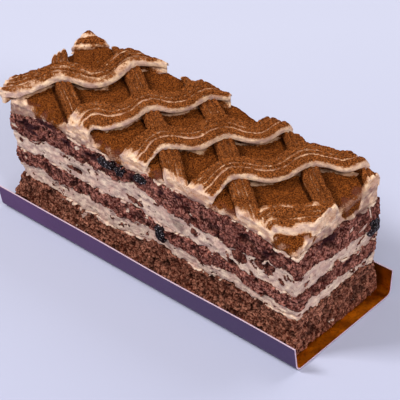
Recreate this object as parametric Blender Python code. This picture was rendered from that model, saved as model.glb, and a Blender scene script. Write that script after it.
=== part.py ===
"""A cut slice of cherry tiramisu on its folded card tray.

Three soaked sponges alternate with two cream fillings under a top cream.
Two sets of ribbons are piped across the top, one over the other, before the
slice is cut, so every ribbon ends flush with a side of the slice.

Lengths are in millimetres and become metres when a mesh is made. The origin
is the middle of the tray's underside, +X runs along the slice, +Y across it.
"""
import math

import bmesh
import bpy
from mathutils import Vector, noise

MM = 0.001
GAP = 0.3                      # clear space between neighbouring pieces

# Card tray: a flat base with one raised flap along each long side.
TRAY_LENGTH = 133.2
FLAP_TOP_HALF_WIDTH = 24.45    # outer face, measured at the flap's top edge
FLAP_HEIGHT = 9.4
FLAP_LEAN = math.atan2(1.1, 9.4)
CARD = 0.5
FOLD_RADIUS = 2.5              # outer face of the fold
FOLD_STEPS = 5

# Slice: stations shared by every layer, so that stacked faces run alike.
INNER_END = 59.0               # last shared station before each end
ALONG_STEPS = 36
ACROSS_STATIONS = (-14.5, -11.0, -6.5, -1.5, 4.0, 10.0, 16.5)
FACE_ROWS = 3                  # rows of facets up each layer's cut faces
SLICE_BOTTOM = CARD + GAP

# Heights of the five layer boundaries and of the floor of the top, read
# along the near long side (x, height) and as a rise across the slice (y, rise).
BOUNDARIES = {
    "sponge_bottom_top": (
        ((-62, 14.2), (-46, 13.0), (-28, 12.0), (-13, 11.2), (2, 14.2),
         (17, 12.7), (34, 14.4), (43, 13.2), (62, 14.0)),
        ((-17, 0.0), (-10, -0.4), (0, 0.2), (10, 0.4), (21, -0.5))),
    "cream_lower_top": (
        ((-62, 17.6), (-50, 19.2), (-38, 17.2), (-18, 18.4), (-8, 17.3),
         (1, 18.8), (12, 17.2), (27, 15.9), (36, 17.9), (47, 16.0), (62, 16.8)),
        ((-17, 0.0), (-6, 1.0), (4, 1.2), (12, -0.1), (21, 0.2))),
    "sponge_middle_top": (
        ((-62, 24.6), (-43, 25.8), (-30, 24.5), (-16, 24.5), (-5, 26.2),
         (10, 23.7), (25, 23.5), (40, 22.3), (62, 23.2)),
        ((-17, -0.8), (-5, 0.0), (2, 1.0), (10, -0.5), (21, -0.6))),
    "cream_middle_top": (
        ((-62, 32.2), (-54, 30.8), (-40, 33.5), (-30, 31.7), (-24, 32.9),
         (-16, 31.5), (-2, 34.4), (10, 31.4), (27, 31.1), (36, 29.4),
         (51, 30.9), (62, 29.6)),
        ((-17, -1.2), (-9, 0.3), (2, -1.6), (12, -2.4), (21, -4.2))),
    "sponge_top_top": (
        ((-62, 36.6), (-54, 38.2), (-44, 40.8), (-30, 38.4), (-20, 39.3),
         (-12, 38.5), (0, 39.2), (30, 39.0), (46, 38.9), (56, 36.9), (62, 36.8)),
        ((-17, 0.2), (-10, 0.5), (-4, -0.7), (4, 0.4), (14, -0.8), (21, 0.0))),
    "floor": (
        ((-62, 43.0), (-40, 42.9), (-20, 41.7), (0, 41.2), (35, 41.4),
         (48, 40.5), (56, 39.0), (62, 38.6)),
        ((-17, -0.3), (-14.5, 1.6), (-11, 3.4), (-6, 4.4), (5, 5.2), (21, 6.0))),
}
# The rise of the floor across the slice varies along it: (x, share).
FLOOR_RISE = ((-62, 0.65), (-55, 0.8), (-38, 0.8), (-25, 1.05), (4, 0.93), (14, 0.58), (44, 0.58),
              (55, 0.9), (62, 0.75))

# Cut outline of each layer: left, right, near and far faces. The bottom
# sponge spreads towards its foot, so it also has an outline near the tray.
OUTLINES = {
    "sponge_bottom": (-60.9, 62.0, -17.5, 21.2),
    "cream_lower": (-60.3, 61.7, -17.0, 20.8),
    "sponge_middle": (-62.8, 62.1, -17.4, 21.3),
    "cream_middle": (-63.0, 61.8, -17.1, 22.3),
    "sponge_top": (-63.8, 62.2, -17.4, 22.8),
    "cream_top": (-62.8, 61.8, -17.2, 22.2),
}
SPREAD_HEIGHT = 11.0           # the foot widens below this height
FOOT_SPREAD = (-5.2, 0.6, -2.6, 1.1)
FOOT_ROUND = 1.3               # drawn in again at the very bottom edge
FOOT_ROUND_HEIGHT = 2.2
TOP_EDGE_ROUND = 1.3           # the top cream's upper edge rolls over

# Relief of the cut faces: depth and size of the crags.
SPONGE_RELIEF = (0.55, 3.2)
CREAM_RELIEF = (0.35, 6.5)
RELIEF_ROW_STEP = 0.9          # how much the relief changes from row to row

# Piped ribbons. Each route is a smooth curve through a few points (x, y).
OVER_ROUTES = (
    ((-71, 12), (-65.8, 17.0), (-59.3, 22.5), (-53, 29)),
    ((-62, -23), (-55.9, -14), (-52.9, -8), (-52, -2), (-47.3, 1.5), (-41.5, 2),
     (-38.2, 5.4), (-38.6, 12), (-37.8, 17.3), (-33.8, 21), (-27, 24.5)),
    ((-40, -19), (-34, -13.8), (-25.5, -11.9), (-20.3, -9.7), (-17.3, -6), (-16.5, 0.2),
     (-14, 4), (-10, 6.3), (-7.2, 10.3), (-6.2, 15), (-4.4, 19.5), (1.5, 23.5)),
    ((-5, -21), (-2.2, -13.8), (0, -9.2), (5.3, -5), (8.8, -1), (10.2, 4.4), (12.6, 9),
     (18, 11.1), (22, 13.2), (23, 17.5), (24.6, 26)),
    ((23.5, -21), (25.6, -13.5), (27.3, -6.8), (31.8, -3.2), (37, -0.6), (39.7, 3.2),
     (41.2, 9.5), (43.6, 13.4), (49.5, 15.4), (52.8, 18.4), (55.3, 25)),
    ((40, -19.5), (48.2, -14), (52.8, -12.1), (55.8, -9.8), (57.6, -4), (59.3, 0.4),
     (67, 5.5)),
)
UNDER_ROUTES = (
    ((-70, 11), (-63, 6), (-54.7, -1.8), (-44.7, -7.9), (-35, -13.3), (-26, -20)),
    ((-58, 29), (-45.5, 20.6), (-30, 10.4), (-14.8, 1), (1.1, -8), (18, -20)),
    ((-26, 29), (-16, 23.2), (3, 12.8), (11.3, 7), (19.2, 1), (36, -11.3), (48, -19.5)),
    ((16, 28.5), (29, 19.9), (42.6, 11.2), (50, 5.2), (68, -5.5)),
    ((45, 26.8), (55.5, 20.4), (61.8, 16.4), (68, 12.6)),
)
# Cross-sections of the two nozzles: place to the right of the route, and
# height above the floor of the top. The over ribbon overhangs on its right.
OVER_SECTION = ((-6.5, 0.9), (-6.3, 2.8), (-5.5, 4.0), (-4.3, 3.6), (-2.9, 4.5), (-1.4, 4.5),
                (0.0, 3.8), (0.7, 4.0), (2.0, 4.7), (3.0, 4.3), (3.6, 3.5), (3.4, 2.2))
OVER_FOOT = (1.8, -5.9)
UNDER_SECTION = ((-3.5, 0.9), (-3.0, 2.3), (-1.8, 3.0), (-0.8, 2.6), (0.2, 3.1), (1.1, 2.6),
                 (2.0, 2.9), (3.1, 2.1), (3.5, 0.8))
UNDER_FOOT = (3.1, -3.1)
RIBBON_LIFT = 0.4              # underside above the faceted floor of the top
OVER_SPACING = 2.5             # distance between sections along a ribbon
UNDER_SPACING = 4.5
FINE_SPACING = 1.0             # and along the lines that find the crossings
CURVE_STEPS = 16               # steps of a curve between two route points
FRAME_REACH = 7.0              # the bends' directions are smoothed over this length
CROSSING_RISE = 0.9            # an over ribbon lifts where it rides an under one
CROSSING_REACH = 6.5
NEAR_EDGE_PRESS = 0.72         # the knife pressed the ribbons down at the near side
PRESS_REACH = 10.0
TRIM = (-63.4, 61.8, -17.0, 22.2)     # the four cuts through the ribbons
TRIM_HEIGHTS = (30.0, 70.0)
TIP_OVERHANG = 4.2             # the knife dragged one ribbon past the left end

# Cherry pieces that show at the cut faces: centre, radii and tilt in degrees.
CHERRIES = {
    "cherry_lower": ((6.1, -15.9, 19.6), (2.2, 2.4, 3.7), (0, -20, 0)),
    "cherry_upper_left": ((-16.8, -15.6, 36.6), (3.9, 2.8, 1.9), (0, 8, 0)),
    "cherry_upper_middle": ((-10.6, -15.8, 36.4), (2.1, 2.4, 2.3), (0, 0, 0)),
    "cherry_upper_right": ((-1.8, -15.8, 37.2), (3.2, 2.4, 1.6), (0, -12, 0)),
    "cherry_end": ((60.3, 19.2, 27.2), (2.8, 3.9, 3.3), (-15, 0, 0)),
}
CHERRY_DENT = 0.18             # share of the radius by which the lumps vary
CHERRY_DENT_SIZE = 1.4
CHERRY_REACH = 1.0             # beyond the radii, where a layer still gets a pocket


def clear_scene():
    """Start from an empty file."""
    for item in list(bpy.data.objects):
        bpy.data.objects.remove(item, do_unlink=True)


def make_material(name, colour, roughness, metallic=0.0):
    """A Principled material of one colour (linear red, green, blue)."""
    material = bpy.data.materials.new(name)
    material.use_nodes = True
    shader = material.node_tree.nodes["Principled BSDF"]
    shader.inputs["Base Color"].default_value = (*colour, 1.0)
    shader.inputs["Roughness"].default_value = roughness
    shader.inputs["Metallic"].default_value = metallic
    return material


def make_object(name, points, faces, material=None):
    """Mesh object from points in millimetres, with its faces turned outwards."""
    mesh = bpy.data.meshes.new(name)
    mesh.from_pydata([tuple(c * MM for c in point) for point in points], [], faces)
    shape = bmesh.new()
    shape.from_mesh(mesh)
    bmesh.ops.recalc_face_normals(shape, faces=shape.faces)
    shape.to_mesh(mesh)
    shape.free()
    item = bpy.data.objects.new(name, mesh)
    bpy.context.scene.collection.objects.link(item)
    if material:
        mesh.materials.append(material)
    return item


def mark_as_cutter(item):
    """Keep a cutter out of the model: it only shapes other objects."""
    item.hide_render = True
    item.display_type = "WIRE"
    return item


def add_boolean(item, cutter, operation):
    modifier = item.modifiers.new(operation.title(), "BOOLEAN")
    modifier.operation = operation
    modifier.object = cutter


def lerp(start, end, share):
    return start + (end - start) * share


def eased(points, place):
    """Height at a place on a curve that eases between points (place, height)."""
    if place <= points[0][0]:
        return points[0][1]
    for (x0, h0), (x1, h1) in zip(points, points[1:]):
        if place <= x1:
            share = (place - x0) / (x1 - x0)
            return lerp(h0, h1, share * share * (3.0 - 2.0 * share))
    return points[-1][1]


def boundary(name, x, y):
    """Height of a layer boundary: its line along the slice plus its rise across."""
    along, across = BOUNDARIES[name]
    share = eased(FLOOR_RISE, x) if name == "floor" else 1.0
    return eased(along, x) + eased(across, y) * share


def floor_at(spot):
    return boundary("floor", spot.x, spot.y)


def smooth_route(points, spacing):
    """Evenly spaced places on a Catmull-Rom curve through the route's points."""
    ends = [Vector(p) for p in points]
    ends = [2 * ends[0] - ends[1]] + ends + [2 * ends[-1] - ends[-2]]
    fine = []
    for p0, p1, p2, p3 in zip(ends, ends[1:], ends[2:], ends[3:]):
        for step in range(CURVE_STEPS):
            t = step / CURVE_STEPS
            fine.append(0.5 * (2 * p1 + (p2 - p0) * t + (2 * p0 - 5 * p1 + 4 * p2 - p3) * t ** 2
                               + (3 * p1 - p0 - 3 * p2 + p3) * t ** 3))
    fine.append(ends[-2])
    lengths = [0.0]
    for a, b in zip(fine, fine[1:]):
        lengths.append(lengths[-1] + (b - a).length)
    count = max(2, round(lengths[-1] / spacing))
    places = []
    index = 0
    for step in range(count + 1):
        goal = lengths[-1] * step / count
        while index < len(fine) - 2 and lengths[index + 1] < goal:
            index += 1
        share = (goal - lengths[index]) / (lengths[index + 1] - lengths[index])
        places.append(fine[index].lerp(fine[index + 1], min(share, 1.0)))
    return places


def route_frames(places, reach):
    """Each place on a route with the unit direction to its left.

    The direction is taken between the places reach steps before and after, so
    that a section wider than the tightest bend doesn't fold over itself.
    """
    frames = []
    for index, place in enumerate(places):
        ahead = places[min(index + reach, len(places) - 1)]
        behind = places[max(index - reach, 0)]
        along = (ahead - behind).normalized()
        frames.append((place, Vector((-along.y, along.x))))
    return frames


def card_line(depth):
    """Line across the tray from flap top to flap top, at a depth into the card."""
    flat_end = (FLAP_TOP_HALF_WIDTH - FOLD_RADIUS * math.cos(FLAP_LEAN)
                - (FLAP_HEIGHT - FOLD_RADIUS * (1 - math.sin(FLAP_LEAN))) * math.tan(FLAP_LEAN))
    radius = FOLD_RADIUS - depth
    turn = math.pi / 2 - FLAP_LEAN
    line = []
    for step in range(FOLD_STEPS + 1):
        angle = -math.pi / 2 + turn * step / FOLD_STEPS
        line.append((flat_end + radius * math.cos(angle), FOLD_RADIUS + radius * math.sin(angle)))
    line.append((FLAP_TOP_HALF_WIDTH - depth / math.cos(FLAP_LEAN), FLAP_HEIGHT))
    return [(-y, z) for y, z in line[::-1]] + line


def make_tray(material):
    """One sheet of card: the flat base and its two folded flaps."""
    outer = card_line(0.0)
    section = outer + card_line(CARD)[::-1]
    count = len(section)
    points = [(x, y, z) for x in (-TRAY_LENGTH / 2, TRAY_LENGTH / 2) for y, z in section]
    faces = [(i, (i + 1) % count, count + (i + 1) % count, count + i) for i in range(count)]
    # Each end is a strip of quads between the card's outer and inner faces.
    for base in (0, count):
        for i in range(len(outer) - 1):
            inner = base + count - 1 - i
            faces.append((base + i, base + i + 1, inner - 1, inner))
    return make_object("tray", points, faces, material)


def outline_at(layer, height):
    """Cut outline of a layer at a height: left, right, near and far faces."""
    outline = OUTLINES[layer]
    if layer != "sponge_bottom" or height >= SPREAD_HEIGHT:
        return outline
    share = 1.0 - height / SPREAD_HEIGHT
    share = share * share * (3.0 - 2.0 * share)
    drawn_in = max(0.0, 1.0 - height / FOOT_ROUND_HEIGHT) * FOOT_ROUND
    outward = (-1, 1, -1, 1)
    return tuple(face + spread * share - side * drawn_in
                 for face, spread, side in zip(outline, FOOT_SPREAD, outward))


def perimeter_stations():
    """Stations round a layer as (x, y); a face's name stands for its place."""
    inner_x = [lerp(-INNER_END, INNER_END, i / ALONG_STEPS) for i in range(ALONG_STEPS + 1)]
    near = [("left", "near")] + [(x, "near") for x in inner_x] + [("right", "near")]
    right = [("right", y) for y in ACROSS_STATIONS]
    far = [("right", "far")] + [(x, "far") for x in inner_x[::-1]] + [("left", "far")]
    left = [("left", y) for y in ACROSS_STATIONS[::-1]]
    return near + right + far + left


def place_station(station, outline, relief, row, seed):
    """Point of a station on an outline, pushed in or out by the relief."""
    left, right, near, far = outline
    names = {"left": left, "right": right, "near": near, "far": far}
    x = names.get(station[0], station[0])
    y = names.get(station[1], station[1])
    depth, size = relief
    push = depth * noise.noise(Vector((x / size, y / size, row * RELIEF_ROW_STEP + seed)))
    if station[0] in names:
        x += push if station[0] == "right" else -push
    if station[1] in names:
        y += push if station[1] == "far" else -push
    return x, y


def make_layer(name, lower, upper, relief, seed, material, open_top=False):
    """A layer that runs through the slice between two boundaries.

    lower and upper are boundary names; None below means the tray. With
    open_top the upper face gets a full grid and its rim rolls over.
    """
    stations = perimeter_stations()
    count = len(stations)
    points = []
    rows = FACE_ROWS + 1 if open_top else FACE_ROWS
    for row in range(rows + 1):
        share = row / rows
        for station in stations:
            x, y = place_station(station, outline_at(name, SPREAD_HEIGHT), relief, row, seed)
            low = boundary(lower, x, y) + GAP / 2 if lower else SLICE_BOTTOM
            high = boundary(upper, x, y) - (0.0 if open_top else GAP / 2)
            z = lerp(low, high, share)
            if open_top and row == rows:
                outline = [face - side * TOP_EDGE_ROUND
                           for face, side in zip(OUTLINES[name], (-1, 1, -1, 1))]
                x, y = place_station(station, outline, relief, row, seed)
            elif open_top and row == rows - 1:
                z = high - TOP_EDGE_ROUND
            elif not lower:
                x, y = place_station(station, outline_at(name, z), relief, row, seed)
            points.append((x, y, z))
    faces = []
    for row in range(rows):
        for i in range(count):
            j = (i + 1) % count
            faces.append((row * count + i, row * count + j,
                          (row + 1) * count + j, (row + 1) * count + i))
    add_ruled_cap(points, faces, 0, lower, GAP / 2)
    if open_top:
        add_grid_cap(points, faces, rows * count, upper)
    else:
        add_ruled_cap(points, faces, rows * count, upper, -GAP / 2)
    return make_object(name, points, faces, material)


def cap_edges(first):
    """Indices of a perimeter's near and far sides (left to right) and its ends."""
    along = ALONG_STEPS + 3
    across = len(ACROSS_STATIONS)
    near = [first + i for i in range(along)]
    right = [first + along + i for i in range(across)]
    far = [first + 2 * along + across - 1 - i for i in range(along)]
    left = [first + 2 * along + 2 * across - 1 - i for i in range(across)]
    return near, far, left, right


def add_ruled_cap(points, faces, first, name, offset):
    """Close a face between layers: ruled strips across, and a grid at each end."""
    near, far, left, right = cap_edges(first)
    for side, end, corner, step in ((-1, left, 0, 1), (1, right, -1, -1)):
        x = side * INNER_END
        inner = [near[corner + step]]
        for y in ACROSS_STATIONS:
            z = boundary(name, x, y) + offset if name else SLICE_BOTTOM
            inner.append(len(points))
            points.append((x, y, z))
        inner.append(far[corner + step])
        outer = [near[corner]] + end + [far[corner]]
        for a, b, c, d in zip(outer, outer[1:], inner[1:], inner):
            faces.append((a, b, c))
            faces.append((a, c, d))
        near_next, far_next = near[corner + 2 * step], far[corner + 2 * step]
        half = len(inner) // 2
        for a, b in zip(inner[:half], inner[1:half + 1]):
            faces.append((a, b, near_next))
        faces.append((inner[half], far_next, near_next))
        for a, b in zip(inner[half:], inner[half + 1:]):
            faces.append((a, b, far_next))
    for i in range(2, len(near) - 3):
        faces.append((near[i], near[i + 1], far[i + 1]))
        faces.append((near[i], far[i + 1], far[i]))


def add_grid_cap(points, faces, first, name):
    """Close the top with a grid that follows the floor of the top."""
    near, far, left, right = cap_edges(first)
    columns = []
    for i in range(len(near)):
        if i == 0:
            middle = left
        elif i == len(near) - 1:
            middle = right
        else:
            x = points[near[i]][0]
            middle = []
            for y in ACROSS_STATIONS:
                middle.append(len(points))
                points.append((x, y, boundary(name, x, y)))
        columns.append([near[i]] + middle + [far[i]])
    for before, after in zip(columns, columns[1:]):
        for a, b, c, d in zip(before, before[1:], after[1:], after):
            faces.append((a, b, c))
            faces.append((a, c, d))


def distance_to_route(place, route):
    return min((place - other).length for other in route)


def press_share(y):
    """How far the knife pressed a ribbon down, from the near side inwards."""
    inward = min(1.0, max(0.0, (y - TRIM[2]) / PRESS_REACH))
    return lerp(NEAR_EDGE_PRESS, 1.0, math.sin(inward * math.pi / 2))


def make_ribbon(name, route, section, foot, spacing, under=(), swell=0.0, material=None):
    """A piped ribbon: its nozzle's section carried along a smooth route.

    under lists the routes that it rides over. swell widens and raises the
    whole section, which makes a cutter that leaves the gap round a ribbon.
    """
    frames = route_frames(smooth_route(route, spacing), max(1, round(FRAME_REACH / spacing)))
    crest = max(height for _, height in section)
    outline = section + tuple((across, RIBBON_LIFT) for across in foot)
    points = []
    for place, left in frames:
        foot_floors = [floor_at(place - left * across) for across in foot]
        bulge = floor_at(place - left * (sum(foot) / 2)) - sum(foot_floors) / 2
        for across, height in outline:
            spot = place - left * (across + math.copysign(swell, across))
            rise = 0.0
            if under:
                apart = min(distance_to_route(spot, other) for other in under)
                rise = CROSSING_RISE * math.cos(min(apart / CROSSING_REACH, 1.0) * math.pi / 2)
            floor = floor_at(spot)
            if height == RIBBON_LIFT:
                z = floor + height + max(0.0, bulge) - 2 * swell
            else:
                z = floor + height * press_share(spot.y) + rise * height / crest + swell
            points.append((spot.x, spot.y, z))
    count = len(outline)
    faces = []
    for step in range(len(frames) - 1):
        for i in range(count):
            j = (i + 1) % count
            faces.append((step * count + i, step * count + j,
                          (step + 1) * count + j, (step + 1) * count + i))
    last = (len(frames) - 1) * count
    faces.append(tuple(range(count)))
    faces.append(tuple(last + i for i in range(count)))
    return make_object(name, points, faces, material)


def make_trim_block():
    """The space between the four cuts, which ends every ribbon flush."""
    left, right, near, far = TRIM
    points = [(x, y, z) for z in TRIM_HEIGHTS for y in (near, far) for x in (left, right)]
    points = [(x - TIP_OVERHANG, y, z) if x == left and y == near else (x, y, z) for x, y, z in points]
    faces = [(0, 1, 3, 2), (4, 6, 7, 5), (0, 4, 5, 1), (1, 5, 7, 3), (3, 7, 6, 2), (2, 6, 4, 0)]
    return mark_as_cutter(make_object("cut_between_faces", points, faces))


def make_cherry(name, centre, radii, tilt, seed, swell=0.0, material=None):
    """A soft lump of cherry: a ball stretched to its radii, dented and tilted."""
    shape = bmesh.new()
    bmesh.ops.create_icosphere(shape, subdivisions=2, radius=1.0)
    for vertex in shape.verts:
        dent = 1.0 + CHERRY_DENT * noise.noise(vertex.co * CHERRY_DENT_SIZE + Vector((seed, 0, 0)))
        vertex.co = Vector([c * dent * r + math.copysign(swell, c) * abs(c)
                            for c, r in zip(vertex.co, radii)]) * MM
    mesh = bpy.data.meshes.new(name)
    shape.to_mesh(mesh)
    shape.free()
    item = bpy.data.objects.new(name, mesh)
    bpy.context.scene.collection.objects.link(item)
    item.location = Vector(centre) * MM
    item.rotation_euler = [math.radians(angle) for angle in tilt]
    if material:
        mesh.materials.append(material)
    return item


def main():
    clear_scene()
    card = make_material("tray_card", (0.11, 0.075, 0.15), 0.45)
    pale_sponge = make_material("sponge_light", (0.16, 0.075, 0.05), 0.85)
    dark_sponge = make_material("sponge_soaked", (0.10, 0.035, 0.025), 0.8)
    cream = make_material("cream", (0.72, 0.55, 0.42), 0.5)
    cocoa = make_material("cocoa_on_cream", (0.22, 0.07, 0.015), 0.9)
    fruit = make_material("cherry", (0.02, 0.008, 0.012), 0.2)

    make_tray(card)
    layers = [
        make_layer("sponge_bottom", None, "sponge_bottom_top", SPONGE_RELIEF, 1, pale_sponge),
        make_layer("cream_lower", "sponge_bottom_top", "cream_lower_top", CREAM_RELIEF, 2, cream),
        make_layer("sponge_middle", "cream_lower_top", "sponge_middle_top", SPONGE_RELIEF, 3, dark_sponge),
        make_layer("cream_middle", "sponge_middle_top", "cream_middle_top", CREAM_RELIEF, 4, cream),
        make_layer("sponge_top", "cream_middle_top", "sponge_top_top", SPONGE_RELIEF, 5, dark_sponge),
        make_layer("cream_top", "sponge_top_top", "floor", CREAM_RELIEF, 6, cocoa, open_top=True),
    ]

    for seed, (name, (centre, radii, tilt)) in enumerate(CHERRIES.items()):
        make_cherry(name, centre, radii, tilt, seed, material=fruit)
        pocket = mark_as_cutter(make_cherry(name + "_pocket", centre, radii, tilt, seed, GAP))
        low = centre[2] - radii[2] - CHERRY_REACH
        high = centre[2] + radii[2] + CHERRY_REACH
        spans = zip(layers, [None] + list(BOUNDARIES)[:-1], BOUNDARIES)
        for layer, lower, upper in spans:
            bottom = boundary(lower, centre[0], centre[1]) if lower else 0.0
            if bottom < high and boundary(upper, centre[0], centre[1]) > low:
                add_boolean(layer, pocket, "DIFFERENCE")

    trim_block = make_trim_block()
    swollen = []
    under_lines = []
    for index, route in enumerate(UNDER_ROUTES, 1):
        ribbon = make_ribbon(f"ribbon_under_{index}", route, UNDER_SECTION, UNDER_FOOT,
                             UNDER_SPACING, material=cocoa)
        add_boolean(ribbon, trim_block, "INTERSECT")
        clearance = make_ribbon(f"ribbon_under_{index}_clearance", route, UNDER_SECTION,
                                UNDER_FOOT, UNDER_SPACING, swell=GAP)
        swollen.append(mark_as_cutter(clearance))
        under_lines.append(smooth_route(route, FINE_SPACING))
    for index, route in enumerate(OVER_ROUTES, 1):
        ribbon = make_ribbon(f"ribbon_over_{index}", route, OVER_SECTION, OVER_FOOT,
                             OVER_SPACING, under=under_lines, material=cocoa)
        add_boolean(ribbon, trim_block, "INTERSECT")
        for clearance in swollen:
            add_boolean(ribbon, clearance, "DIFFERENCE")


main()
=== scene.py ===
"""A cut slice of cherry tiramisu on its folded card tray, dressed round its CAD model.

The sections follow the slice as it is put together, from the tray up to the
piped ribbons. The floor, the light and the camera come last. Lengths are in
millimetres and become metres when a mesh is made. +X runs along the slice,
+Y across it, and the origin is under the tray's middle.
"""
import math
import bpy
import numpy as np
from mathutils import Matrix, Vector


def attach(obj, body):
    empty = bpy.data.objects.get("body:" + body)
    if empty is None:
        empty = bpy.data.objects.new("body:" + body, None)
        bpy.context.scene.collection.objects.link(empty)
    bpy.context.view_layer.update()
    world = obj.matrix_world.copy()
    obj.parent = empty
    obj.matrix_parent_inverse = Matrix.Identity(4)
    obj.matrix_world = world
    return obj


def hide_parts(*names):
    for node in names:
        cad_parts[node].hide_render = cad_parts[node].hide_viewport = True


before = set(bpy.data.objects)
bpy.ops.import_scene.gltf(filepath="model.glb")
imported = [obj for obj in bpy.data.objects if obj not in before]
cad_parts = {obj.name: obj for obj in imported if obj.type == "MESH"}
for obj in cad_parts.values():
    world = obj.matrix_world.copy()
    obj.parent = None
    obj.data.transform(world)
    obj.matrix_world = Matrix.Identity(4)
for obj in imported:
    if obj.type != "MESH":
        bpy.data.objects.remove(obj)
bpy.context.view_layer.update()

# ------------------------------
# Tray. One sheet of half-millimetre card, printed aubergine outside and gold
# inside, with a flap folded up along each long side. Its cut edges show pale.
MM = 0.001
TRAY_LENGTH = 133.2
FLAP_TOP_HALF_WIDTH = 24.45
FLAP_HEIGHT = 9.4
FLAP_LEAN = math.atan2(1.1, FLAP_HEIGHT)
CARD = 0.5
FOLD_RADIUS = 2.5
BASE_STEPS, FOLD_STEPS, FLAP_STEPS = 20, 12, 8
TRAY_STEP = 1.2  # along the tray
FLAP_WAVE = 0.16  # how far the flaps bow in and out
FLAP_FROM = 20  # mm across, past which a point is on a flap


def paint(red, green, blue):
    """Colour seen on screen, 0 to 255, as the linear colour that a shader takes."""
    seen = np.array((red, green, blue)) / 255.0
    linear = np.where(seen <= 0.04045, seen / 12.92, ((seen + 0.055) / 1.055) ** 2.4)
    return (*(float(c) for c in linear), 1.0)


class Wire:
    """A node's output in a material, with arithmetic.

    wire + 1, 1 - wire and wire * wire add Math nodes. node() adds any other
    node: its settings are set first, then its inputs get values or wires. A
    colour is given as it is seen on screen.
    """

    def __init__(self, tree, socket=None):
        self.tree = tree
        self.socket = socket

    def node(self, kind, settings=None, inputs=None, output=0):
        added = self.tree.nodes.new("ShaderNode" + kind)
        for name, value in (settings or {}).items():
            setattr(added, name, value)
        for name, value in (inputs or {}).items():
            self.join(added.inputs[name], value)
        return Wire(self.tree, added.outputs[output])

    def join(self, target, value):
        if isinstance(value, Wire):
            self.tree.links.new(value.socket, target)
        else:
            target.default_value = paint(*value) if target.type == "RGBA" else value

    def feed(self, **inputs):
        """Gives each named socket of the material's shader its value or its wire."""
        for name, value in inputs.items():
            self.join(self.tree.nodes["Principled BSDF"].inputs[name.replace("_", " ")], value)

    def math(self, operation, first, second, clamp=False):
        return self.node("Math", {"operation": operation, "use_clamp": clamp}, {0: first, 1: second})

    def __add__(self, other):
        return self.math("ADD", self, other)

    def __sub__(self, other):
        return self.math("SUBTRACT", self, other)

    def __rsub__(self, other):
        return self.math("SUBTRACT", other, self)

    def __mul__(self, other):
        return self.math("MULTIPLY", self, other)

    __radd__, __rmul__ = __add__, __mul__

    def edge(self, middle, width):
        """0 below the middle, 1 above it, over a width: (value - middle) / width + 1/2, held there."""
        return self.math("ADD", self * (1 / width), 0.5 - middle / width, clamp=True)

    def attribute(self, name):
        """A number stored at the points of the mesh."""
        return self.node("Attribute", {"attribute_name": name}, output="Fac")

    def place(self):
        """Where a point lies, in metres."""
        return self.node("TexCoord", output="Object")

    def along(self, axis):
        """How far a point lies along an axis, 0 for x, 1 for y and 2 for z, in metres."""
        return self.node("SeparateXYZ", {}, {"Vector": self.place()}, axis)

    def grain(self, size, detail=2, stretch=(1, 1, 1), shift=0):
        """Noise, about 0.2 to 0.8, whose lumps are size mm, longer where stretch is above 1."""
        place = self.node("Mapping", {}, {"Vector": self.place(), "Scale": [1 / s for s in stretch],
                                          "Location": [shift] * 3})
        return self.node("TexNoise", {}, {"Vector": place, "Scale": 1 / (size * MM), "Detail": detail})

    def blend(self, share, first, second):
        """Colour that goes from the first to the second as share goes from 0 to 1."""
        return self.node("Mix", {"data_type": "RGBA"}, {0: share, 6: first, 7: second}, output=2)

    def bump(self, height, depth):
        """Normal of a surface raised by height times depth mm."""
        return self.node("Bump", {}, {"Height": height, "Distance": depth * MM, "Strength": 1})


def new_finish(name, **fixed):
    """Material whose Principled shader has the fixed values, and a wire to start from."""
    material = bpy.data.materials.new(name)
    material.use_nodes = True
    wire = Wire(material.node_tree)
    wire.feed(**fixed)
    return material, wire


def put_mesh(name, points, faces, materials, numbers=None):
    """Mesh object from points in mm (n, 3) and faces, with numbers stored at its points."""
    mesh = bpy.data.meshes.new(name)
    mesh.from_pydata((points * MM).tolist(), [], faces)
    mesh.shade_smooth()
    for label, values in (numbers or {}).items():
        layer = mesh.attributes.new(label, "FLOAT", "POINT")
        layer.data.foreach_set("value", np.ascontiguousarray(values, np.float32))
    for material in materials:
        mesh.materials.append(material)
    piece = bpy.data.objects.new(name, mesh)
    bpy.context.scene.collection.objects.link(piece)
    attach(piece, "root")
    return piece


def ring_faces(starts, count):
    """Quads from each closed ring of count points to the next, given where each ring's points start."""
    starts = np.array(starts)[:, None]
    i = np.arange(count)
    j = (i + 1) % count
    low, high = starts[:-1], starts[1:]
    return np.stack([low + i, low + j, high + j, high + i], -1).reshape(-1, 4)


def card_line(depth):
    """Half of the tray's section (y, z) from its middle to a flap's top, at a depth into the card.

    Flat, then the fold's arc (r cos a, R + r sin a) with r = R - depth, then the leaning flap.
    """
    flat_end = (FLAP_TOP_HALF_WIDTH - FOLD_RADIUS * math.cos(FLAP_LEAN)
                - (FLAP_HEIGHT - FOLD_RADIUS * (1 - math.sin(FLAP_LEAN))) * math.tan(FLAP_LEAN))
    radius = FOLD_RADIUS - depth
    angle = np.linspace(-math.pi / 2, -FLAP_LEAN, FOLD_STEPS + 1)
    fold = np.column_stack([flat_end + radius * np.cos(angle), FOLD_RADIUS + radius * np.sin(angle)])
    top = (FLAP_TOP_HALF_WIDTH - depth / math.cos(FLAP_LEAN), FLAP_HEIGHT)
    return np.vstack([np.linspace((0, depth), (flat_end, depth), BASE_STEPS + 1)[:-1], fold,
                      np.linspace(fold[-1], top, FLAP_STEPS + 1)[1:]])


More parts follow.
